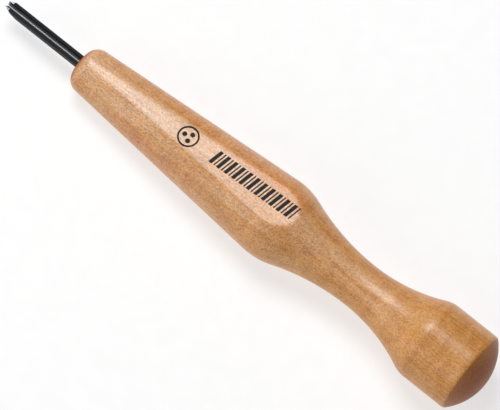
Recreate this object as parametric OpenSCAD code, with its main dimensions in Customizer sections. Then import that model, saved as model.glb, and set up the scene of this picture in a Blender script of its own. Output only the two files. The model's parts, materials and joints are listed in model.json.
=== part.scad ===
// Lino cutter: a small U gouge glued into a turned palm-grip handle.
// The turning axis is X, with the cutting edge at +X and the printed flat facing +Z.
// The origin is on the axis, half-way between the edge and the end of the butt.

/* [Overall] */
// Length from the cutting edge to the end of the butt
overall_length = 133; // [120:1:150]
// Length of blade that stands out of the handle
blade_out = 20.8; // [15:0.1:30]

/* [Handle] */
// Radius of the cylindrical band at the butt
butt_r = 9.5; // [8:0.1:11]
// Distance from the end of the butt to the front corner of its band
butt_band_front = 15.4; // [12:0.1:18]
// Radius of the dome on the end of the butt
dome_r = 13.2; // [12:0.1:20]
// Radius of the waist
waist_r = 5.25; // [4:0.05:7]
// Distance from the end of the butt to the waist
waist_at = 34.1; // [30:0.1:38]
// Radius of the cove between the waist and the butt
rear_cove_r = 39.5; // [36:0.5:45]
// Distance from the end of the butt to the crease where that cove stops
rear_cove_end = 16.8; // [16:0.1:19]
// Radius of the long cove between the waist and the shoulder
front_cove_r = 53; // [50:0.5:62]
// Rounding of the shoulder
shoulder_round = 16; // [6:0.5:20]
// Radius of the long cone where it meets the nose
nose_r = 5.15; // [4.5:0.05:6]
// Growth of the cone's radius for each millimetre of length
cone_slope = 0.08; // [0.07:0.001:0.09]
// Rounding of the nose
nose_round = 3; // [1:0.1:4]

/* [Milled flats] */
// Distance from the axis to a flat, abreast of the shoulder
flat_height = 8.2; // [7.8:0.05:8.6]
// Fall of a flat for each millimetre towards the nose
flat_slope = 0.045; // [0.03:0.001:0.06]

/* [Blade] */
// Width of the blade, and height of its section
blade_w = 2.7; // [2:0.1:3.5]
// Width of the groove
groove_w = 1.36; // [1:0.02:1.6]
// Depth of the groove
groove_depth = 1; // [0.7:0.05:1.3]
// Thickness of the hard steel lining
lining = 0.25; // [0.15:0.05:0.35]
// Angle of the bevel ground round the outside
bevel_angle = 22; // [18:1:28]
// Forward lean of the two wings of the edge
wing_lean = 5; // [0:1:8]
// Length of the facet honed on top of each wing
hone_length = 1.3; // [0.5:0.1:2]
// Angle of that facet
hone_angle = 11; // [5:1:15]

/* [Tang] */
// Length of the full blade section inside the nose
shoulder_in = 6; // [4:0.5:10]
// Length of the hard lining inside the nose
lining_in = 3; // [2:0.5:4]
// Length of the tang behind it
tang_length = 22; // [15:1:30]
// Radius of the tang
tang_r = 1.05; // [0.8:0.05:1.15]
// Length of the tang's point
tang_point = 3; // [1:0.5:5]
// Radius at the end of that point
tang_end_r = 0.4; // [0.2:0.05:0.7]

/* [Print] */
// Thickness of the ink
ink = 0.04; // [0.03:0.01:0.1]
// Outer radius of the round mark's ring
mark_r = 2.45; // [1.5:0.05:2.6]
// Width of that ring
ring_w = 0.4; // [0.2:0.05:0.6]
// Number of dots inside the ring
dots = 3; // [2:1:5]
// Radius of a dot
dot_r = 0.55; // [0.3:0.05:0.7]
// Distance from the middle of the ring to a dot
dot_at = 1; // [0.7:0.05:1.2]
// Distance from the cutting edge to the round mark
mark_at = 50.6; // [45:0.1:54]
// Distance from the cutting edge to the middle of the row of bars
row_at = 68.6; // [60:0.1:70]
// Number of bars in the row
bars = 11; // [5:1:15]
// Distance from one bar to the next
bar_pitch = 2; // [1.6:0.05:2.1]
// Height of a bar across the flat
bar_h = 3.5; // [2:0.1:3.8]
// Width of a broad bar
bar_w = 0.85; // [0.4:0.05:1]
// Width of the thin line beside each broad bar
thin_w = 0.3; // [0.15:0.05:0.4]
// Gap between a thin line and its broad bar
thin_gap = 0.45; // [0.2:0.05:0.6]
// Lean of the bars
bar_lean = 12; // [0:1:20]
// Sideways shift of the row from the middle of the flat
row_shift = 0.5; // [0:0.1:1]
// Turn of the row on the flat
row_turn = 2; // [0:0.5:4]

/* [Hidden] */
$fn = 96;

half_length = overall_length / 2;
handle_length = overall_length - blade_out;
tip_x = half_length;
nose_x = tip_x - blade_out;
butt_x = -half_length;
blade_r = blade_w / 2;
// Wood-to-tang gap at the bottom of the hole, filled with glue.
end_gap = 0.5;
// Distance by which the glue stops short of the nose.
glue_recess = 0.5;
// Overrun of a cut past the face it leaves.
over = 1;
eps = 0.01;

wood = "#d9a066";
black_steel = "#26282b";
bright_steel = "#5a5d61";
glue = "#e3d3a2";
black_ink = "#1a1a1c";

// ---- handle profile: [distance from the end of the butt, radius] ----

// Radius of the long cone at distance u from the end of the butt.
function cone_radius(u) = nose_r + cone_slope * (handle_length - u);

cone_angle = atan(cone_slope);
dome_depth = dome_r - sqrt(pow(dome_r, 2) - pow(butt_r, 2));
rear_cove_centre = [waist_at, waist_r + rear_cove_r];
front_cove_centre = [waist_at, waist_r + front_cove_r];
rear_cove_angle = asin((waist_at - rear_cove_end) / rear_cove_r);

// The shoulder's arc lies under the cone's line and touches the long cove from outside:
// its centre is shoulder_round below the line, and both radii together from the cove's centre.
sunk_cone_at_waist = cone_radius(waist_at) - shoulder_round / cos(cone_angle) - front_cove_centre[1];
reach = front_cove_r + shoulder_round;
quad_a = 1 + pow(cone_slope, 2);
quad_b = -cone_slope * sunk_cone_at_waist;
quad_c = pow(sunk_cone_at_waist, 2) - pow(reach, 2);
shoulder_du = (-quad_b + sqrt(pow(quad_b, 2) - quad_a * quad_c)) / quad_a;
shoulder_centre = [
    waist_at + shoulder_du,
    front_cove_centre[1] + sunk_cone_at_waist - cone_slope * shoulder_du
];
cove_to_shoulder = atan2(shoulder_centre[1] - front_cove_centre[1], shoulder_centre[0] - front_cove_centre[0]);

// The nose's arc touches the cone's line and the flat end of the handle.
nose_centre = [
    handle_length - nose_round,
    cone_radius(handle_length - nose_round) - nose_round / cos(cone_angle)
];

shoulder_front = shoulder_centre[0] + shoulder_round * sin(cone_angle);
shoulder_back = front_cove_centre[0] + front_cove_r * cos(cove_to_shoulder);
nose_back = nose_centre[0] + nose_round * sin(cone_angle);
rear_cove_end_r = rear_cove_centre[1] - rear_cove_r * cos(rear_cove_angle);

// A band of the outline between two distances from the end of the butt, out to a radius.
module band(u0, u1, r) {
    translate([0, u0]) square([r, u1 - u0]);
}

// A band whose radius changes evenly.
module cone_band(u0, r0, u1, r1) {
    polygon([[0, u0], [r0, u0], [r1, u1], [0, u1]]);
}

// A round of the outline: its centre is [distance from the end of the butt, radius].
module round_at(c, r) {
    translate([c[1], c[0]]) circle(r = r);
}

// Half of the handle's outline: the axis is the left edge and the butt is at the bottom.
module half_outline() {
    intersection() {
        band(0, butt_band_front, butt_r);
        union() {
            round_at([dome_r, 0], dome_r);
            band(dome_r - eps, butt_band_front, butt_r);
        }
    }
    cone_band(butt_band_front, butt_r, rear_cove_end, rear_cove_end_r);
    difference() {
        band(rear_cove_end, waist_at, rear_cove_end_r);
        round_at(rear_cove_centre, rear_cove_r);
    }
    difference() {
        band(waist_at, shoulder_back, butt_r);
        round_at(front_cove_centre, front_cove_r);
    }
    intersection() {
        band(shoulder_back, shoulder_front, butt_r);
        round_at(shoulder_centre, shoulder_round);
    }
    cone_band(shoulder_front, cone_radius(shoulder_front), nose_back, cone_radius(nose_back));
    band(nose_back, handle_length, nose_centre[1]);
    intersection() {
        band(nose_back, handle_length, nose_r + nose_round);
        round_at(nose_centre, nose_round);
    }
}

// Turns the outline about the axis and lays it along X, with the nose at +X.
module turned() {
    translate([butt_x, 0, 0]) rotate([0, 90, 0]) rotate_extrude() half_outline();
}

// ---- flats ----

// Place on the axis abreast of the shoulder, and the tilt of a flat about Y.
shoulder_x = butt_x + shoulder_centre[0];
flat_tilt = atan(flat_slope);

// Puts children on the upper flat, at a distance from the cutting edge: local Z is the flat's normal.
module on_flat(from_edge) {
    x = tip_x - from_edge;
    translate([x, 0, flat_height - flat_slope * (x - shoulder_x)]) rotate([0, flat_tilt, 0]) children();
}

// What the mill takes off above the upper flat.
module flat_waste() {
    on_flat(tip_x - shoulder_x) translate([-handle_length, -butt_r, 0])
        cube([2 * handle_length, 2 * butt_r, butt_r]);
}

// ---- blade sections, drawn across the blade and then laid along X ----

lining_back = nose_x - lining_in;
section_back = nose_x - shoulder_in;
tang_back = section_back - tang_length;
bore_back = tang_back - end_gap;

// Lays a section along X between two places: the section's x is the row's Y, its y is the row's Z.
module along_x(x0, x1) {
    translate([x0, 0, 0]) rotate([90, 0, 90]) linear_extrude(height = x1 - x0) children();
}

// Outside of the blade: round below, square above.
module bar_section() {
    circle(r = blade_r);
    translate([-blade_r, 0]) square([blade_w, blade_r]);
}

groove_r = groove_w / 2;
groove_y = blade_r - groove_depth + groove_r;

// A trough with a round floor and upright sides, open at the top: grown by the lining it holds the hard steel.
module trough_section(grow) {
    translate([0, groove_y]) circle(r = groove_r + grow);
    translate([-groove_r - grow, groove_y]) square([groove_w + 2 * grow, blade_w]);
}

// Thickness left at the cutting edge, and length of the form that the bevel follows.
edge_land = 0.03;
grind_length = 8;

// Solid that the ground outside of the edge follows: a cone round the groove's floor, a wedge above it.
module ground_form() {
    spread = grind_length * tan(bevel_angle);
    r0 = groove_r + edge_land;
    translate([tip_x, 0, groove_y]) rotate([0, wing_lean, 0]) {
        rotate([0, -90, 0]) cylinder(r1 = r0, r2 = r0 + spread, h = grind_length);
        linear_extrude(height = blade_w)
            polygon([[0, r0], [0, -r0], [-grind_length, -r0 - spread], [-grind_length, r0 + spread]]);
    }
}

// Facet honed on top of the wings.
module hone_waste() {
    translate([tip_x - hone_length, -blade_w, blade_r]) rotate([0, hone_angle, 0])
        cube([2 * hone_length, 2 * blade_w, blade_w]);
}

// Keeps only what is inside the ground form near the edge, and everything behind it.
module grind() {
    difference() {
        intersection() {
            children();
            union() {
                ground_form();
                along_x(tang_back - over, tip_x - grind_length + over) square(2 * blade_w, center = true);
            }
        }
        hone_waste();
    }
}

// The tang with its blunt point, grown in length at its front end.
module tang(longer) {
    translate([tang_back, 0, 0]) rotate([0, 90, 0]) {
        cylinder(r1 = tang_end_r, r2 = tang_r, h = tang_point);
        translate([0, 0, tang_point]) cylinder(r = tang_r, h = tang_length - tang_point + longer);
    }
}

// ---- sub-parts ----

module handle() {
    color(wood) difference() {
        turned();
        flat_waste();
        mirror([0, 0, 1]) flat_waste();
        along_x(section_back, nose_x + over) bar_section();
        translate([bore_back, 0, 0]) rotate([0, 90, 0]) cylinder(r = blade_r, h = nose_x - bore_back - eps);
    }
}

module blade_body() {
    color(black_steel) {
        grind() difference() {
            along_x(section_back, tip_x + over) bar_section();
            along_x(lining_back, tip_x + 2 * over) trough_section(lining);
            along_x(section_back - over, lining_back + eps) trough_section(0);
        }
        tang(0);
    }
}

module edge_steel() {
    color(bright_steel) grind() difference() {
        intersection() {
            along_x(lining_back, tip_x + over) trough_section(lining);
            along_x(lining_back, tip_x + over) bar_section();
        }
        along_x(lining_back - over, tip_x + 2 * over) trough_section(0);
    }
}

module tang_adhesive() {
    color(glue) difference() {
        union() {
            translate([bore_back, 0, 0]) rotate([0, 90, 0]) cylinder(r = blade_r, h = section_back - bore_back);
            along_x(section_back, nose_x - glue_recess) intersection() {
                trough_section(0);
                bar_section();
            }
        }
        tang(eps);
    }
}

module printed_emblem() {
    color(black_ink) on_flat(mark_at) linear_extrude(height = ink) {
        difference() {
            circle(r = mark_r);
            circle(r = mark_r - ring_w);
        }
        for (i = [0 : dots - 1]) rotate(i * 360 / dots) translate([dot_at, 0]) circle(r = dot_r);
    }
}

module printed_band() {
    color(black_ink) on_flat(row_at) translate([0, -row_shift, 0]) rotate(row_turn)
        linear_extrude(height = ink) for (i = [0 : bars - 1]) {
            translate([(i - (bars - 1) / 2) * bar_pitch, 0]) slanted_bar(bar_w);
            translate([(i - (bars - 1) / 2) * bar_pitch - thin_gap - thin_w, 0]) slanted_bar(thin_w);
        }
}

// One leaning bar: its left edge crosses the middle of its height at the origin.
module slanted_bar(w) {
    lean = bar_h / 2 * tan(bar_lean);
    polygon([[-lean, -bar_h / 2], [w - lean, -bar_h / 2], [w + lean, bar_h / 2], [lean, bar_h / 2]]);
}

handle();
blade_body();
edge_steel();
tang_adhesive();
printed_emblem();
printed_band();
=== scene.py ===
# %% [markdown]
# # A lino cutter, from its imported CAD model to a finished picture
#
# The object is a small hand tool: a turned wooden handle that fills the palm, and a short steel
# gouge glued into its nose. The CAD model already fixes every size and place. This lesson keeps
# those, and makes the surfaces a camera wants: soft corners, real wood grain, blackened steel
# that is bright where a grinding wheel touched it, and thin printed ink.
#
# Everything is in metres. The turning axis is X with the cutting edge at +X, and +Z points up
# through the printed flat.

import json
import math

import bmesh
import bpy
import numpy as np
from mathutils import Matrix, Vector


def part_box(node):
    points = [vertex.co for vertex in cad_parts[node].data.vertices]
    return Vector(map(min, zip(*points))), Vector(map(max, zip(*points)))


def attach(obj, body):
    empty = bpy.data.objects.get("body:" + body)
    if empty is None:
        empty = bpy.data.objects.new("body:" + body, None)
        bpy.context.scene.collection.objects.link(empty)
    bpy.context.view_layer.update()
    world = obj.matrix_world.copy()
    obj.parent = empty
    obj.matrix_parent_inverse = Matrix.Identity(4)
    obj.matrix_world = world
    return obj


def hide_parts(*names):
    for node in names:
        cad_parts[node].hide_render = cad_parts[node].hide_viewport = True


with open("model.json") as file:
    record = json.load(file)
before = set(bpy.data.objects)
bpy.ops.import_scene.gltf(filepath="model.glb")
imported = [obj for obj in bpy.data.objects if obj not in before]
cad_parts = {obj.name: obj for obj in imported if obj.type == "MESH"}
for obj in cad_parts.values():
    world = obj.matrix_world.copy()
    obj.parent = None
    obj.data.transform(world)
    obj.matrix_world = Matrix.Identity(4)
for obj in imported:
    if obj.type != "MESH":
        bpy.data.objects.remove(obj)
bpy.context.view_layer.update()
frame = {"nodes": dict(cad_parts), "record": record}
MM = 0.001

# %% [markdown]
# ## Places that come from the frame
#
# The handle's box says where the butt ends and where the nose is cut off square. The record's
# two mounts say how thick the butt's band is and where the underside's flat lies, which is also
# where the bench is. The last few shape values are the design's own, in metres.

# %% Places and driving sizes
handle_low, handle_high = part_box("handle")
blade_low, blade_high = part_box("blade_body")
mounts = {m["name"]: m for m in frame["record"]["mounts"]}
band_mount = mounts["butt_band"]
rest_mount = mounts["rest_flat"]

BUTT_X = handle_low[0]
NOSE_X = handle_high[0]
EDGE_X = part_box("edge_steel")[1][0]
BUTT_R = band_mount["dims"]["r_mm"] * MM
BAND_HALF = band_mount["dims"]["length_mm"] * MM / 2
BAND_BACK = band_mount["pos_m"][0] - BAND_HALF
BAND_FRONT = band_mount["pos_m"][0] + BAND_HALF
print("handle from", round(BUTT_X / MM, 1), "to", round(NOSE_X / MM, 1), "mm, edge at", round(EDGE_X / MM, 1))

# %% [markdown]
# ## Grids into meshes
#
# Every new piece below is a grid: a whole array of points, one row for each place along the
# piece and one column for each place round it. A single helper turns such arrays into a mesh.
# A grid always closes on itself round the columns, and its first and last rows may shrink to
# one point or fold onto a line, which closes the ends when the doubles are merged. A grid may
# bring one number for each point along, which a material reads later, such as how bright the
# steel is there.

# %% Mesh helper


def grid_faces(rows, columns, first):
    """Corner numbers of the four-sided faces between neighbouring rows and columns, where the
    last column joins the first. Numbering starts at first."""
    row, column = np.meshgrid(np.arange(rows - 1), np.arange(columns), indexing="ij")
    beside = (column + 1) % columns
    corners = [row * columns + column, row * columns + beside]
    corners += [(row + 1) * columns + beside, (row + 1) * columns + column]
    return first + np.stack(corners, axis=-1).reshape(-1, 4)


def piece_from_grids(name, grids, value_name=None, values=(), reach=1e-7):
    """One piece from one or more arrays points[row, column, xyz], closed and facing outwards."""
    faces, first = [], 0
    for grid in grids:
        faces.append(grid_faces(grid.shape[0], grid.shape[1], first))
        first += grid.shape[0] * grid.shape[1]
    points = np.concatenate([grid.reshape(-1, 3) for grid in grids])
    mesh = bpy.data.meshes.new(name)
    mesh.from_pydata(points.tolist(), [], np.concatenate(faces).tolist())
    if value_name:
        layer = mesh.attributes.new(value_name, "FLOAT", "POINT")
        layer.data.foreach_set("value", np.concatenate([v.ravel() for v in values]).astype(np.float32))
    piece = bpy.data.objects.new(name, mesh)
    bpy.context.scene.collection.objects.link(piece)
    close_and_face_out(mesh, reach)
    mesh.shade_smooth()
    print(name, len(mesh.vertices), "points,", len(mesh.polygons), "faces")
    return piece


def close_and_face_out(mesh, reach):
    """Merges points closer than reach, drops faces left without area, turns all faces outwards."""
    work = bmesh.new()
    work.from_mesh(mesh)
    bmesh.ops.remove_doubles(work, verts=work.verts, dist=reach)
    bmesh.ops.dissolve_degenerate(work, edges=work.edges, dist=reach)
    bmesh.ops.recalc_face_normals(work, faces=work.faces)
    open_edges = sum(1 for edge in work.edges if len(edge.link_faces) != 2)
    print("edges without exactly two faces:", open_edges)
    work.to_mesh(mesh)
    work.free()


# %% [markdown]
# ## The handle's outline
#
# A turner works to an outline, so the handle starts as one: a line of points, each with a
# distance from the end of the butt and a radius. It is a chain of straight runs and arcs: a
# domed end, a short band, a little cone, two coves that share the waist, a rounded shoulder, a
# long cone and a rounded nose. Real tools never leave a perfectly sharp corner, so the corners at
# the band get a small arc of their own.

# %% Outline pieces


def arc(centre, radius, start, end, count):
    """Points on a circle: the centre plus the radius times cosine and sine of evenly spaced angles."""
    angle = np.linspace(start, end, count)
    return np.stack([centre[0] + radius * np.cos(angle), centre[1] + radius * np.sin(angle)], axis=1)


def run(start, end, count):
    """Evenly spaced points on a straight line, without its last point."""
    share = np.arange(count)[:, None] / count
    return np.asarray(start) * (1 - share) + np.asarray(end) * share


def eased(before, corner, after, size, count=7):
    """A corner rounded by a curve: from a point one size before it to a point one size after
    it, the weights of a quadratic curve pull the line towards the corner."""
    before, corner, after = (np.asarray(p, float) for p in (before, corner, after))
    start = corner + (before - corner) / np.linalg.norm(before - corner) * size
    end = corner + (after - corner) / np.linalg.norm(after - corner) * size
    share = np.linspace(0, 1, count)[:, None]
    return start * (1 - share) ** 2 + corner * 2 * share * (1 - share) + end * share**2


# %% Outline of the handle
WAIST_R = 5.25 * MM
WAIST_AT = 34.1 * MM
REAR_COVE_R = 39.5 * MM
REAR_COVE_END = 16.8 * MM
FRONT_COVE_R = 53 * MM
SHOULDER_ROUND = 16 * MM
CONE_SLOPE = 0.08
NOSE_R = 5.15 * MM
NOSE_ROUND = 3.0 * MM
CORNER_EASE = 0.45 * MM
# Share of the dome's arc that is kept, where the eased corner takes over.
DOME_SHARE = 0.955

HANDLE_LENGTH = NOSE_X - BUTT_X
CONE_ANGLE = np.arctan(CONE_SLOPE)
DOME_DEPTH = BAND_BACK - BUTT_X
DOME_R = (BUTT_R**2 + DOME_DEPTH**2) / (2 * DOME_DEPTH)
BAND_FRONT_U = BAND_FRONT - BUTT_X


def cone_radius(u):
    """The long cone: the nose's radius plus the slope times the distance back from the nose."""
    return NOSE_R + CONE_SLOPE * (HANDLE_LENGTH - u)


def shoulder_centre():
    """Centre of the arc that touches the cone's line from below and the long cove from outside:
    the place where the cone's line, sunk by the arc's radius, is both radii from the cove's centre."""
    cove = np.array([WAIST_AT, WAIST_R + FRONT_COVE_R])
    sunk = cone_radius(WAIST_AT) - SHOULDER_ROUND / np.cos(CONE_ANGLE) - cove[1]
    a = 1 + CONE_SLOPE**2
    b = -CONE_SLOPE * sunk
    c = sunk**2 - (FRONT_COVE_R + SHOULDER_ROUND) ** 2
    step = (-b + np.sqrt(b * b - a * c)) / a
    return np.array([WAIST_AT + step, cove[1] + sunk - CONE_SLOPE * step])


REAR_COVE = np.array([WAIST_AT, WAIST_R + REAR_COVE_R])
FRONT_COVE = np.array([WAIST_AT, WAIST_R + FRONT_COVE_R])
SHOULDER = shoulder_centre()
SHOULDER_X = BUTT_X + SHOULDER[0]
NOSE_CENTRE = np.array([HANDLE_LENGTH - NOSE_ROUND, 0.0])
NOSE_CENTRE[1] = cone_radius(NOSE_CENTRE[0]) - NOSE_ROUND / np.cos(CONE_ANGLE)


def handle_outline():
    """Distance from the end of the butt and radius, from the pole of the dome to the nose's face."""
    quarter = np.pi / 2
    dome_edge = np.array([DOME_DEPTH, BUTT_R])
    band_front = np.array([BAND_FRONT_U, BUTT_R])
    cove_angle = np.arcsin((WAIST_AT - REAR_COVE_END) / REAR_COVE_R)
    to_shoulder = np.arctan2(*(SHOULDER - FRONT_COVE)[::-1])
    dome = arc((DOME_R, 0), DOME_R, np.pi, np.pi - np.arcsin(BUTT_R / DOME_R) * DOME_SHARE, 34)
    rear = arc(REAR_COVE, REAR_COVE_R, -quarter - cove_angle, -quarter, 44)
    front = arc(FRONT_COVE, FRONT_COVE_R, -quarter, to_shoulder, 50)
    shoulder = arc(SHOULDER, SHOULDER_ROUND, np.pi + to_shoulder, quarter - CONE_ANGLE, 26)
    nose = arc(NOSE_CENTRE, NOSE_ROUND, quarter - CONE_ANGLE, 0, 16)
    return np.concatenate(
        [
            dome[:-1],
            eased(dome[-1], dome_edge, band_front, CORNER_EASE),
            run(dome_edge + [CORNER_EASE, 0], band_front - [CORNER_EASE, 0], 14)[1:],
            eased(dome_edge, band_front, rear[0], CORNER_EASE),
            rear[1:-1],
            front[:-1],
            shoulder[:-1],
            run(shoulder[-1], nose[0], 84),
            nose,
        ]
    )


outline = handle_outline()
print("outline:", len(outline), "points, largest radius", round(outline[:, 1].max() / MM, 2), "mm")

# %% [markdown]
# ## The handle's skin
#
# The outline turned about the axis would give a plain round handle. The real one was then
# milled flat on two sides, so each point of the turned skin is compared with the two flats: going
# out from the axis at an angle, whichever is met first, the turned surface or a flat, is the
# skin. A hard comparison would leave a ragged edge between columns of the grid. A smooth minimum
# blends the two over a short distance instead, which is also what sandpaper does to the edge of
# a milled flat: it is crisp at the shoulder, where the mill cuts deep, and soft towards the nose.
#
# The last rows turn in at the nose, shrink to the blade's mouth and run down the hole, so the
# handle is a true socket and not a painted ring.

# %% Flats and the skin of the handle
FLAT_NEAR = -(rest_mount["pos_m"][2])
FLAT_AT = rest_mount["pos_m"][0]
FLAT_SLOPE = -rest_mount["axis"][0] / rest_mount["axis"][2]
BLADE_R = (blade_high[1] - blade_low[1]) / 2
SECTION_IN = 6 * MM
TANG_LENGTH = 22 * MM
END_GAP = 0.5 * MM
POLE_R = 0.2 * MM
ROUND_COLUMNS = 320
FLAT_BAND = 0.35 * MM
FLAT_BAND_NOSE = 0.5 * MM


def flat_height(x):
    """Distance of either flat from the axis at x: a straight line through the rest mount."""
    return FLAT_NEAR - FLAT_SLOPE * (x - FLAT_AT)


def smooth_min(a, b, width):
    """The smaller of two values, with the corner between them rounded over a width: where they
    differ by less than the width, a parabola lies under both."""
    near = np.clip(1 - np.abs(a - b) / width, 0, 1)
    return np.minimum(a, b) - near**2 * width / 4


def mouth_radius(angle):
    """Reach of the blade's section from its axis: half round below, square above. In the upper
    half the reach is the half width over the larger of the cosine and sine."""
    square = BLADE_R / np.maximum(np.abs(np.sin(angle)), np.abs(np.cos(angle)))
    return np.where(np.sin(angle) > 0, square, BLADE_R)


def handle_points():
    """Rows run from the butt's pole over the outline, in across the nose's face, and down the
    hole to its bottom; columns run round the axis from the +Y side over the top."""
    angle = np.arange(ROUND_COLUMNS) / ROUND_COLUMNS * 2 * np.pi
    side, rise = np.cos(angle)[None, :], np.sin(angle)[None, :]
    x = (BUTT_X + outline[:, 0])[:, None]
    radius = outline[:, 1][:, None] + 0 * angle[None, :]
    to_flat = flat_height(x) / np.maximum(np.abs(rise), 1e-3)
    toward_nose = np.clip((x - SHOULDER_X) / (NOSE_X - SHOULDER_X), 0, 1)
    band = FLAT_BAND + (FLAT_BAND_NOSE - FLAT_BAND) * toward_nose
    radius = np.where(radius > POLE_R, smooth_min(radius, to_flat, band), radius)
    skin = np.stack(np.broadcast_arrays(x, radius * side, radius * rise), axis=-1)

    mouth = mouth_radius(angle)[None, :]
    rim = outline[-1, 1]
    share = np.array([0.25, 0.5, 0.75, 0.93, 0.985, 1.0])[:, None]
    face_radius = rim + (mouth - rim) * share
    face_x = NOSE_X - np.array([0, 0, 0, 0, 0.02, 0.12])[:, None] * MM
    face = np.stack(np.broadcast_arrays(face_x, face_radius * side, face_radius * rise), axis=-1)

    depth = np.array([0.5, 2, 4, 6])[:, None] * MM
    square_hole = np.stack(np.broadcast_arrays(NOSE_X - depth, mouth * side, mouth * rise), axis=-1)
    bore_radius = np.array([1, 1, 1, 0.5, 0])[:, None] * BLADE_R
    bottom = TANG_LENGTH + END_GAP
    bore_x = NOSE_X - SECTION_IN - np.array([0.01 * MM, TANG_LENGTH / 2, bottom, bottom, bottom])[:, None]
    bore = np.stack(np.broadcast_arrays(bore_x, bore_radius * side, bore_radius * rise), axis=-1)
    return np.concatenate([skin, face, square_hole, bore])


turned_handle = piece_from_grids("turned_handle", [handle_points()])
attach(turned_handle, "root")
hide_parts("handle")

# %% [markdown]
# ## The blade
#
# The gouge is a bar that is half round below and square above, with a trough down its top. Its
# steel is in two layers, a thin hard lining in the trough and a softer backing under it, and the
# whole outside is ground to a bevel near the edge. So both layers are the same idea: a strip that
# runs down one wall of the trough, round its floor and up the other wall, with a thickness that
# changes from place to place. Working that thickness out as one function gives the bar, the
# bevel, the lean of the wings and the facets honed on their tops with no boolean at all, and the
# same function says where a wheel has left the steel bright.

# %% Places across the trough
GROOVE_R = 0.68 * MM
GROOVE_DEPTH = 1.0 * MM
FLOOR_UP = BLADE_R - GROOVE_DEPTH + GROOVE_R
LINING = 0.25 * MM
EDGE_LAND = 0.03 * MM
BEVEL = np.tan(np.radians(22))
WING_LEAN = np.radians(5)
HONE_LENGTH = 1.3 * MM
HONE = np.tan(np.radians(11))
OVERALL_LENGTH = 133 * MM
LINING_IN = 3 * MM
WING_EASE = 0.03 * MM
BEVEL_EASE = 0.03 * MM
TIP_X = BUTT_X + OVERALL_LENGTH
SECTION_BACK = NOSE_X - SECTION_IN
LINING_BACK = NOSE_X - LINING_IN
WALL_COLUMNS = 9
FLOOR_COLUMNS = 40


def trough_line():
    """From the top of one wall to the top of the other: how far up its wall a place is, from 0 at
    the floor's arc to 1 at the top, and the direction in which the trough's surface backs."""
    up = np.linspace(1, 0, WALL_COLUMNS)
    turn = np.linspace(np.pi, 2 * np.pi, FLOOR_COLUMNS + 2)[1:-1]
    height = np.concatenate([up, 0 * turn, up[::-1]])
    backing = np.concatenate([np.pi + 0 * up, turn, 2 * np.pi + 0 * up])
    return height, backing


WALL_SHARE, BACKS = trough_line()
SIDEWAYS, DOWNWARD = np.cos(BACKS), np.sin(BACKS)
ACROSS = len(BACKS)
print("places across the trough:", ACROSS)

# %% How far the steel reaches


def wing_top(x):
    """Height of the wings over the centre of the floor's arc: the bar's flat top, less the facet
    that starts a hone's length behind the edge."""
    return BLADE_R - FLOOR_UP - HONE * np.maximum(0, x - (TIP_X - HONE_LENGTH))


def bar_reach():
    """From the centre of the floor's arc to the outside of the bar in each direction: to the
    upright side, or to the half round where the side has ended."""
    to_side = BLADE_R / np.maximum(np.abs(SIDEWAYS), 1e-6)
    under_root = FLOOR_UP**2 * DOWNWARD**2 - FLOOR_UP**2 + BLADE_R**2
    to_round = -FLOOR_UP * DOWNWARD + np.sqrt(np.maximum(under_root, 0))
    return np.where(FLOOR_UP + to_side * DOWNWARD >= 0, to_side, to_round)


def ground_reach(behind):
    """From the same centre to the ground bevel, some way behind the tip: the trough's radius plus
    the land plus slope times distance, where the lean of the wings flattens the slope below."""
    slope = BEVEL + WING_LEAN * DOWNWARD
    return (GROOVE_R + EDGE_LAND + behind * slope) / (1 - BEVEL * WING_LEAN * DOWNWARD)


# %% A closed strip


def joined_loop(outer, right, inner, left):
    """Columns in order: the outside, over the right wing, back along the inside, the left wing."""
    return np.concatenate([outer, right, inner[:, ::-1], left], axis=1)


def strip_points(x, inner, outer):
    """Walls stand upright and the floor is an arc; each top corner is eased by cutting it with
    two more columns."""
    top = wing_top(x[:, :1])
    rise = WALL_SHARE * (top - WING_EASE)
    floor = WALL_SHARE == 0
    out_y, in_y = outer * SIDEWAYS, inner * SIDEWAYS
    out_z = FLOOR_UP + np.where(floor, outer * DOWNWARD, rise)
    in_z = FLOOR_UP + np.where(floor, inner * DOWNWARD, rise)
    edge_out, edge_in = outer[:, -1:], inner[:, -1:]
    cut = np.minimum(WING_EASE, (edge_out - edge_in) / 3)
    wing_y = np.concatenate([edge_out - cut / 3, edge_out - cut, edge_in + cut, edge_in + cut / 3], axis=1)
    dip = np.array([1 / 3, 0, 0, 1 / 3]) * WING_EASE
    wing_z = FLOOR_UP + top - dip
    y = joined_loop(out_y, wing_y, in_y, -wing_y[:, ::-1])
    z = joined_loop(out_z, wing_z, in_z, wing_z[:, ::-1])
    wide = joined_loop(x, np.repeat(x[:, -1:], 4, 1), x, np.repeat(x[:, :1], 4, 1))
    return np.stack([wide, y, z], axis=-1)


def with_folded_end(points):
    """One more row, where outside and inside meet half-way between, so that the strip closes."""
    outer = points[-1, :ACROSS]
    inner = points[-1, ACROSS + 4 : 2 * ACROSS + 4][::-1]
    middle = ((outer + inner) / 2)[None]
    folded = joined_loop(middle, middle[:, [-1] * 4], middle, middle[:, [0] * 4])
    return np.concatenate([points, folded])


THINNEST = 0.003 * MM


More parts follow.
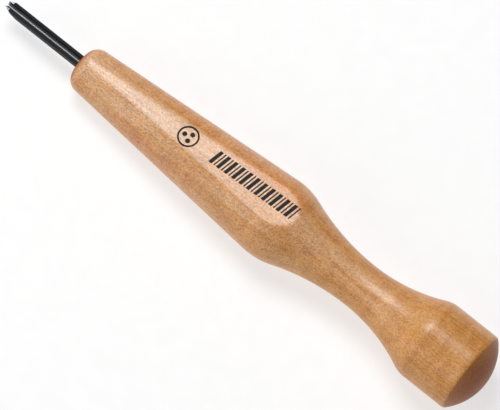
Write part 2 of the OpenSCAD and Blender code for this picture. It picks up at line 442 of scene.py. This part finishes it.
def steel_strip(front_gap, inner_reach, outer_reach, back_x, rows):
    """A layer of the blade and how bright it is. Its rows start at the layer's own front line,
    crowd together near it, and end on one plane inside the handle. Behind its front line the
    layer is never thinner than THINNEST, so that no two of its points fall together."""
    reach_at_edge = GROOVE_R + EDGE_LAND
    lean = WING_LEAN * np.where(WALL_SHARE > 0, WALL_SHARE * wing_top(TIP_X), reach_at_edge * DOWNWARD)
    front = TIP_X + lean - front_gap
    step = np.linspace(0, 1, rows)[:, None]
    share = 0.05 * step + 0.95 * step**2.4
    x = front * (1 - share) + back_x * share
    ground = ground_reach(TIP_X - x)
    inner = inner_reach(x)
    thinnest = np.minimum(0.2 * (front - x), THINNEST)
    outer = np.maximum(smooth_min(outer_reach(x), ground, BEVEL_EASE), inner + thinnest)
    outer[0] = inner[0]
    points = with_folded_end(strip_points(x, inner, outer))

    bevel = np.clip(1.2 - (ground - outer_reach(x)) / (0.02 * MM), 0, 1)
    bevel[0] = 1
    honed = np.clip((x[:, -1:] - TIP_X + HONE_LENGTH) / (0.05 * MM), 0, 1) + np.zeros((1, 4))
    stropped = np.clip(1 - (front - x) / (0.5 * MM), 0, 1)
    bright = joined_loop(bevel, honed, stropped, honed)
    return points, np.concatenate([bright, bright[-1:]])


# %% The lining and the backing
BAR = bar_reach()
THINNED = (LINING - EDGE_LAND) / (BEVEL + WING_LEAN * DOWNWARD)


def tang_points():
    """The tang is a rod with a blunt point: circles of growing radius, closed at both ends."""
    back = SECTION_BACK - TANG_LENGTH
    along = back + np.array([0, 0, 0.4, 1.5, 3, 3.6, 12, 21.6, 22, 22]) * MM
    radius = np.array([0, 0.4, 0.52, 0.78, 1.0, 1.05, 1.05, 1.05, 1.05, 0]) * MM
    angle = np.arange(32) / 32 * 2 * np.pi
    ring = np.stack([0 * angle, np.cos(angle), np.sin(angle)], axis=-1)
    points = radius[:, None, None] * ring[None]
    points[..., 0] = along[:, None]
    return points


lining_grid, lining_bright = steel_strip(
    0, lambda x: GROOVE_R + 0 * x, lambda x: GROOVE_R + LINING + 0 * x, LINING_BACK, 90
)
backing_grid, backing_bright = steel_strip(
    THINNED,
    lambda x: GROOVE_R + LINING * (x > LINING_BACK),
    lambda x: BAR + 0 * x,
    SECTION_BACK,
    120,
)
tang_grid = tang_points()
edge_lining = piece_from_grids("edge_lining", [lining_grid], "bright", [lining_bright])
blade_backing = piece_from_grids(
    "blade_backing", [backing_grid, tang_grid], "bright", [backing_bright, 0 * tang_grid[..., 0]]
)
layers = (
    (edge_lining, "edge_steel", "hard_steel"),
    (blade_backing, "blade_body", "black_steel"),
)
for piece, node, finish in layers:
    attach(piece, "root")
    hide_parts(node)

# %% [markdown]
# ## Sums that become nodes
#
# A procedural finish is mostly arithmetic, and arithmetic reads best as arithmetic. The small
# class below wraps one output of a node. Adding, multiplying or comparing wraps makes the Math
# nodes that the sum stands for, so a line of Python is a line of the finish. Everything else,
# from noise to bump, comes from the one method that makes a node.

# %% Wires and finishes


class Wire:
    """One output of a node. Arithmetic on wires adds the Math nodes that it stands for."""

    def __init__(self, finish, socket):
        self.finish, self.socket = finish, socket

    def math(self, operation, *values):
        return self.finish.node("ShaderNodeMath", list(values), operation=operation)

    def __add__(self, other):
        return self.math("ADD", self, other)

    def __sub__(self, other):
        return self.math("SUBTRACT", self, other)

    def __rsub__(self, other):
        return self.math("SUBTRACT", other, self)

    def __mul__(self, other):
        return self.math("MULTIPLY", self, other)

    def __abs__(self):
        return self.math("ABSOLUTE", self)

    __radd__ = __add__
    __rmul__ = __mul__

    def step(self, low, high):
        """0 below low, 1 above high and a smooth rise between them; high may be the lower one."""
        values = {"Value": self, "From Min": low, "From Max": high}
        return self.finish.node("ShaderNodeMapRange", values, interpolation_type="SMOOTHSTEP")

    def larger(self, other):
        """Whichever of two values is larger."""
        return self.math("MAXIMUM", self, other)


class Finish:
    """A material while it is being built."""

    def __init__(self, name):
        self.material = bpy.data.materials.new(name)
        self.material.use_nodes = True
        self.tree = self.material.node_tree
        self.tree.nodes.clear()

    def node(self, kind, values=(), output=0, **settings):
        """Makes one node: settings first, then a value or a wire for each named or counted socket."""
        made = self.tree.nodes.new(kind)
        for setting, value in settings.items():
            setattr(made, setting, value)
        pairs = values.items() if isinstance(values, dict) else enumerate(values)
        for socket, value in pairs:
            if isinstance(value, Wire):
                self.tree.links.new(value.socket, made.inputs[socket])
            else:
                made.inputs[socket].default_value = value
        return Wire(self, made.outputs[output]) if len(made.outputs) else None

    def place(self, cell, turn=0.0):
        """Object coordinates for a pattern whose cells measure so many millimetres along X and
        along two directions across it, which are turned about X."""
        values = {
            "Vector": self.node("ShaderNodeTexCoord", output="Object"),
            "Rotation": (turn, 0, 0),
            "Scale": [size * MM for size in cell],
        }
        return self.node("ShaderNodeMapping", values, vector_type="TEXTURE")

    def axes(self):
        """Object coordinates in millimetres, as three wires."""
        at = self.node("ShaderNodeTexCoord", output="Object")
        made = self.node("ShaderNodeSeparateXYZ", [at])
        outputs = made.socket.node.outputs
        return [Wire(self, out) * (1 / MM) for out in outputs]

    def facing(self):
        """The surface's own direction, as three wires."""
        made = self.node("ShaderNodeSeparateXYZ", [self.node("ShaderNodeTexCoord", output="Normal")])
        return [Wire(self, out) for out in made.socket.node.outputs]

    def noise(self, at, detail=3.0, rough=0.5, bend=0.0):
        """Smooth random values around a half, with one bump about as large as each cell."""
        values = {"Vector": at, "Scale": 1.0, "Detail": detail, "Roughness": rough, "Distortion": bend}
        return self.node("ShaderNodeTexNoise", values)

    def blend(self, share, first, second, how="MIX"):
        """Mixes two colours by a share."""
        values = {0: share}
        for socket, colour in ((6, first), (7, second)):
            values[socket] = colour if isinstance(colour, Wire) else (*colour, 1)
        return self.node("ShaderNodeMix", values, output=2, data_type="RGBA", blend_type=how)

    def bump(self, height, strength, distance):
        """A normal that leans as if the surface rose by so many metres where height is one."""
        values = {"Height": height, "Strength": strength, "Distance": distance}
        return self.node("ShaderNodeBump", values)

    def close(self, **values):
        """The Principled shader with its sockets, and the material's output."""
        sockets = {key.replace("_", " "): value for key, value in values.items()}
        for key, value in sockets.items():
            if key in ("Base Color", "Emission Color") and not isinstance(value, Wire):
                sockets[key] = (*value, 1)
        shader = self.node("ShaderNodeBsdfPrincipled", sockets)
        self.node("ShaderNodeOutputMaterial", [shader])
        return self.material


def wear(piece, material):
    """Gives a piece its material."""
    piece.data.materials.clear()
    piece.data.materials.append(material)
    print(piece.name, "wears", material.name, "with", len(material.node_tree.nodes), "nodes")


# %% [markdown]
# ## Lacquered cherry
#
# The handle is close, even wood under a satin lacquer. Broad, soft bands of paler and redder
# colour follow the length, because the blank was sawn from a bigger board. Faint rings and long
# lines, cut nearly along the length, draw its grain, and fine fibre and grit break it up. Rays,
# which are thin sheets standing away from the heart, show as short dark dashes. End grain soaks
# up more finish, so the dome and the nose are darker. The wood is warmer towards the butt.
# Painted shade is mixed into the colour too: the -Y side and the hollow round the shoulder are
# blended a deeper orange, and faces turned towards +Y are darkened towards brown. On the +Y side
# there is also a rosy patch, and there the lacquer is rubbed thin. It could be a painted picture
# wrapped round the handle, but then the grain would bend with the shape. Here it is one solid
# pattern in space, so it runs through edges and over the flats as real grain does.

# %% Wood finish
PALE = (0.81, 0.555, 0.375)
TAN = (0.66, 0.385, 0.20)
GOLD = (0.74, 0.42, 0.18)
ORANGE = (0.70, 0.27, 0.06)
ROSE = (0.72, 0.27, 0.17)
BROWN = (0.64, 0.275, 0.055)
FLECK = (0.27, 0.10, 0.03)
STREAK = (0.46, 0.17, 0.035)
END_GRAIN = (0.35, 0.075, 0.002)
HEART = math.radians(35)
SHADE_DARK = (0.66, 0.55, 0.44)
SHADE_LIGHT = (1.34, 1.39, 1.44)
GRAIN_HEIGHT = 0.06 * MM


def cherry_finish():
    """Mixes the wood's colours one over another, by patterns and by place in millimetres, then
    multiplies by a fine light and dark speckle. HEART turns every pattern about the length."""
    wood = Finish("cherry_lacquered")
    x, y, _ = wood.axes()
    nx, ny, _ = wood.facing()

    broad = wood.noise(wood.place((36, 6, 6), HEART), detail=2)
    rings = wood.noise(wood.place((50, 1.2, 14), HEART), detail=2, rough=0.6)
    curl = wood.noise(wood.place((2.2, 7, 7), HEART), detail=2, bend=0.6)
    lines = wood.noise(wood.place((42, 0.8, 1.5), HEART), detail=3, rough=0.6)
    fibre = wood.noise(wood.place((8, 0.45, 0.45), HEART), detail=3, rough=0.65)
    grit = wood.noise(wood.place((0.6, 0.17, 0.17), HEART), detail=2, rough=0.8)
    rays = wood.noise(wood.place((0.45, 2.0, 0.24), HEART), detail=2, rough=0.6)

    colour = wood.blend(broad.step(0.35, 0.66), PALE, TAN)
    colour = wood.blend(rings.step(0.42, 0.72) * 0.45, colour, ORANGE)
    # Painted shade: the -Y side is blended three quarters of the way to a deeper orange.
    colour = wood.blend(y.step(-0.5, -5.0) * 0.75, colour, ORANGE)
    # Painted shade: a deeper orange round the shoulder, stronger on its -Y side, for the hollow behind the
    # crest.
    shoulder = x.step(6, -8) * x.step(-42, -24)
    colour = wood.blend(shoulder * (0.15 + 0.3 * y.step(1, -4)), colour, ORANGE)
    # Painted shade: faces turned towards +Y are darkened half way to brown.
    colour = wood.blend(ny.step(0.5, 0.95) * 0.5, colour, BROWN)
    colour = wood.blend(x.step(2, -60) * 0.8, colour, BROWN)
    rosy = x.step(2, 14) * x.step(42, 28) * ny.step(0.7, 0.97)
    colour = wood.blend(rosy * broad.step(0.3, 0.6) * 0.65, colour, ROSE)
    colour = wood.blend(curl.step(0.4, 0.65) * 0.35, colour, GOLD)
    colour = wood.blend(lines.step(0.46, 0.66) * 0.3, colour, STREAK)
    colour = wood.blend(fibre.step(0.48, 0.75) * 0.7, colour, BROWN)
    flecks = rays.step(0.52, 0.66) * (0.45 + 0.55 * ny.step(-0.35, 0.35))
    colour = wood.blend(flecks * 0.45, colour, FLECK)
    end = abs(nx).step(0.4, 0.95)
    colour = wood.blend(end * 0.9, colour, END_GRAIN)
    speckle = 3.1 * (grit - 0.5) * (0.7 + 0.3 * x.step(-30, 0))
    lit = 0.5 + speckle + 1.0 * (fibre - 0.5) + 0.3 * (curl - 0.5)
    shade = wood.blend(lit, SHADE_DARK, SHADE_LIGHT)
    colour = wood.blend(1.0, colour, shade, how="MULTIPLY")

    rough = 0.36 + 0.2 * (grit - 0.3) + 0.12 * end
    relief = rays * 0.35 + grit * 0.5 + curl * 0.2
    normal = wood.bump(relief, 0.2, GRAIN_HEIGHT)
    rubbed = (1 - end * 0.85) * (1 - ny.step(0.35, 0.85) * 0.8)
    return wood.close(
        Base_Color=colour,
        Roughness=rough,
        Normal=normal,
        IOR=1.38,
        Coat_Weight=0.4 * rubbed,
        Coat_Roughness=0.25,
    )


wear(turned_handle, cherry_finish())

# %% [markdown]
# ## Blackened steel and ground steel
#
# The bar is left with the black skin of its heat treatment, a little uneven and with a dull
# shine. The trough's floor is smoother and catches the light in one long line. Where the wheel
# and the stone have been, the skin is gone and bare steel shows, with fine lines across from the
# wheel. Both layers use the same three looks: the place says where the trough is, and the number
# that the strip's function stored at each point says where the steel is bare.

# %% Steel finishes


def steel_finish(name, skin, trough_skin, bare, bare_rough):
    """Black skin outside, a smoother one in the trough, and bare metal where it was ground."""
    steel = Finish(name)
    _, y, z = steel.axes()
    bright = steel.node("ShaderNodeAttribute", output=2, attribute_name="bright")
    patches = steel.noise(steel.place((1.4, 0.7, 0.7)), detail=4, rough=0.6)
    drawn = steel.noise(steel.place((4, 0.11, 0.11)), detail=3)
    wheel = steel.noise(steel.place((0.05, 1.1, 1.1)), detail=2)
    worn = (bright + (patches - 0.5) * 0.35 * bright).step(0.35, 0.6)
    trough = z.step(1.25, 1.1) * abs(y).step(0.74, 0.69)
    dark = steel.blend(patches.step(0.35, 0.7), skin, [c * 1.8 + 0.003 for c in skin])
    dark = steel.blend(trough, dark, trough_skin)
    light = steel.blend(wheel.step(0.35, 0.65) * 0.35, bare, [c * 0.6 for c in bare])
    rough = (1 - worn) * (0.34 + 0.2 * patches - 0.08 * trough) + worn * (bare_rough + 0.12 * wheel)
    relief = drawn * (1 - worn) * 0.5 + wheel * worn
    return steel.close(
        Base_Color=steel.blend(worn, dark, light),
        Metallic=worn.larger(trough * 0.9),
        Roughness=rough,
        Normal=steel.bump(relief, 0.15, SKIN_HEIGHT),
        IOR=1.18,
    )


SKIN_HEIGHT = 0.02 * MM
BLACK_SKIN = (0.009, 0.010, 0.011)
TROUGH_SKIN = (0.10, 0.105, 0.11)
SOFT_STEEL = (0.42, 0.43, 0.44)
HARD_STEEL = (0.48, 0.49, 0.50)
wear(blade_backing, steel_finish("steel_blackened", BLACK_SKIN, TROUGH_SKIN, SOFT_STEEL, 0.48))
wear(edge_lining, steel_finish("steel_hard_edge", BLACK_SKIN, TROUGH_SKIN, HARD_STEEL, 0.42))

# %% [markdown]
# ## Ink and glue
#
# The print is pad-printed ink, matt and nearly black, slightly thin where the pad lifted. The
# glue shows only as a thread round the tang, cloudy and amber.

# %% Ink and glue finishes


def ink_finish():
    """Nearly black, with a fine grain, and browner where the ink lies thin."""
    ink = Finish("ink_matt")
    grain = ink.noise(ink.place((0.25, 0.25, 0.25)), detail=3, rough=0.7)
    thin = ink.noise(ink.place((1.4, 0.7, 1.4)), detail=2)
    colour = ink.blend(grain.step(0.45, 0.75) * 0.4, (0.012, 0.010, 0.009), (0.050, 0.034, 0.025))
    colour = ink.blend(thin.step(0.5, 0.75) * 0.3, colour, (0.07, 0.045, 0.03))
    return ink.close(
        Base_Color=colour, Roughness=0.5 + 0.2 * grain, Normal=ink.bump(grain, 0.2, 0.00002), IOR=1.3
    )


def glue_finish():
    """Amber with paler clouds, shiny."""
    glue = Finish("epoxy_amber")
    cloud = glue.noise(glue.place((1.1, 1.1, 1.1)), detail=4)
    colour = glue.blend(cloud.step(0.35, 0.7), (0.62, 0.45, 0.20), (0.80, 0.68, 0.42))
    return glue.close(
        Base_Color=colour, Roughness=0.18 + 0.15 * cloud, Normal=glue.bump(cloud, 0.15, 0.00003), IOR=1.52
    )


ink = ink_finish()
for node in ("printed_emblem", "printed_band"):
    wear(frame["nodes"][node], ink)
wear(frame["nodes"]["tang_adhesive"], glue_finish())

# %% [markdown]
# ## Bench, light and camera
#
# The tool lies on its lower flat, so the bench is the plane of that mount, which leans a little
# from the tool's own axes. One soft light stands above the camera and a weaker one fills from the
# left. The bench is pale and also gives off some light of its own, so that it reads as white
# without strong lamps, and so that shadows on it stay faint. A long lens from far away keeps the
# drawing of the tool nearly parallel.

# %% Bench
REST_UP = -Vector(rest_mount["axis"]).normalized()
REST_AT = Vector(rest_mount["pos_m"])
BENCH_SIZE = 3.0
BENCH_GAP = 0.02 * MM


def bench_points(size=BENCH_SIZE, count=3):
    """A square sheet: two directions in the rest plane, each stepped evenly from edge to edge."""
    along = Vector((1, 0, 0)) - REST_UP * REST_UP.x
    along, aside = np.array(along.normalized()), np.array(REST_UP.cross(along).normalized())
    step = np.linspace(-size / 2, size / 2, count)
    at = np.array(REST_AT) - np.array(REST_UP) * BENCH_GAP
    return at + step[:, None, None] * along + step[None, :, None] * aside


sheet = bench_points()
bench_mesh = bpy.data.meshes.new("bench")
cells = [(i * 3 + j, i * 3 + j + 1, i * 3 + j + 4, i * 3 + j + 3) for i in range(2) for j in range(2)]
bench_mesh.from_pydata(sheet.reshape(-1, 3).tolist(), [], cells)
bench = bpy.data.objects.new("bench", bench_mesh)
bpy.context.scene.collection.objects.link(bench)
print("bench", BENCH_SIZE, "m wide,", round(-REST_AT.z / MM, 2), "mm below the axis at the rest mount")


def bench_finish():
    """A matt, nearly white sheet with a faint tooth, which glows a little."""
    paper = Finish("bench_paper")
    tooth = paper.noise(paper.place((3, 3, 3)), detail=3)
    colour = paper.blend(tooth.step(0.3, 0.7), (0.36, 0.36, 0.36), (0.38, 0.38, 0.38))
    return paper.close(
        Base_Color=colour, Roughness=0.85, IOR=1.4, Emission_Color=(1, 1, 1), Emission_Strength=0.66
    )


wear(bench, bench_finish())

# %% Camera
# Direction from the tool to the camera, and the slant of the tool across the picture.
EYE = Vector((-0.1685, 0.2882, 0.9426)).normalized()
SLANT = math.radians(38.45)
along = Vector((-1, 0, 0))
along = (along - EYE * along.dot(EYE)).normalized()
aside = along.cross(EYE)
right = math.cos(SLANT) * along - math.sin(SLANT) * aside
up = -math.sin(SLANT) * along - math.cos(SLANT) * aside
AIM = Vector((-2.68 * MM, 0, 0)) + aside * 1.2 * MM
VIEW_WIDTH = 107.4 * MM
LENS = 400
SENSOR = 36

lens = bpy.data.cameras.new("camera")
lens.lens, lens.sensor_width = LENS, SENSOR
lens.clip_start, lens.clip_end = 0.05, 20
camera = bpy.data.objects.new("camera", lens)
bpy.context.scene.collection.objects.link(camera)
distance = VIEW_WIDTH * LENS / SENSOR
turn = Matrix((right, up, EYE)).transposed().to_4x4()
camera.matrix_world = Matrix.Translation(AIM + EYE * distance) @ turn
bpy.context.scene.camera = camera
print("camera", round(distance, 3), "m away")

# %% Lights


def soft_light(name, side, rise, toward, far, size, power):
    """A square lamp that looks at the tool: so much to the right, up and towards the camera."""
    data = bpy.data.lights.new(name, "AREA")
    data.shape, data.size, data.energy = "SQUARE", size, power
    lamp = bpy.data.objects.new(name, data)
    bpy.context.scene.collection.objects.link(lamp)
    way = (right * side + up * rise + EYE * toward).normalized()
    facing = way.to_track_quat("Z", "Y").to_matrix().to_4x4()
    lamp.matrix_world = Matrix.Translation(AIM + way * far) @ facing


soft_light("key", -0.10, 0.69, 0.76, 0.9, 0.44, 6.0)
soft_light("fill", -1.0, -0.2, 0.75, 1.0, 0.7, 3.2)
print("lamps:", [lamp.name for lamp in bpy.data.lights])

world = bpy.data.worlds.new("studio")
world.use_nodes = True
world.node_tree.nodes["Background"].inputs["Color"].default_value = (1, 1, 1, 1)
world.node_tree.nodes["Background"].inputs["Strength"].default_value = 0.12
bpy.context.scene.world = world
bpy.context.scene.view_settings.view_transform = "Standard"
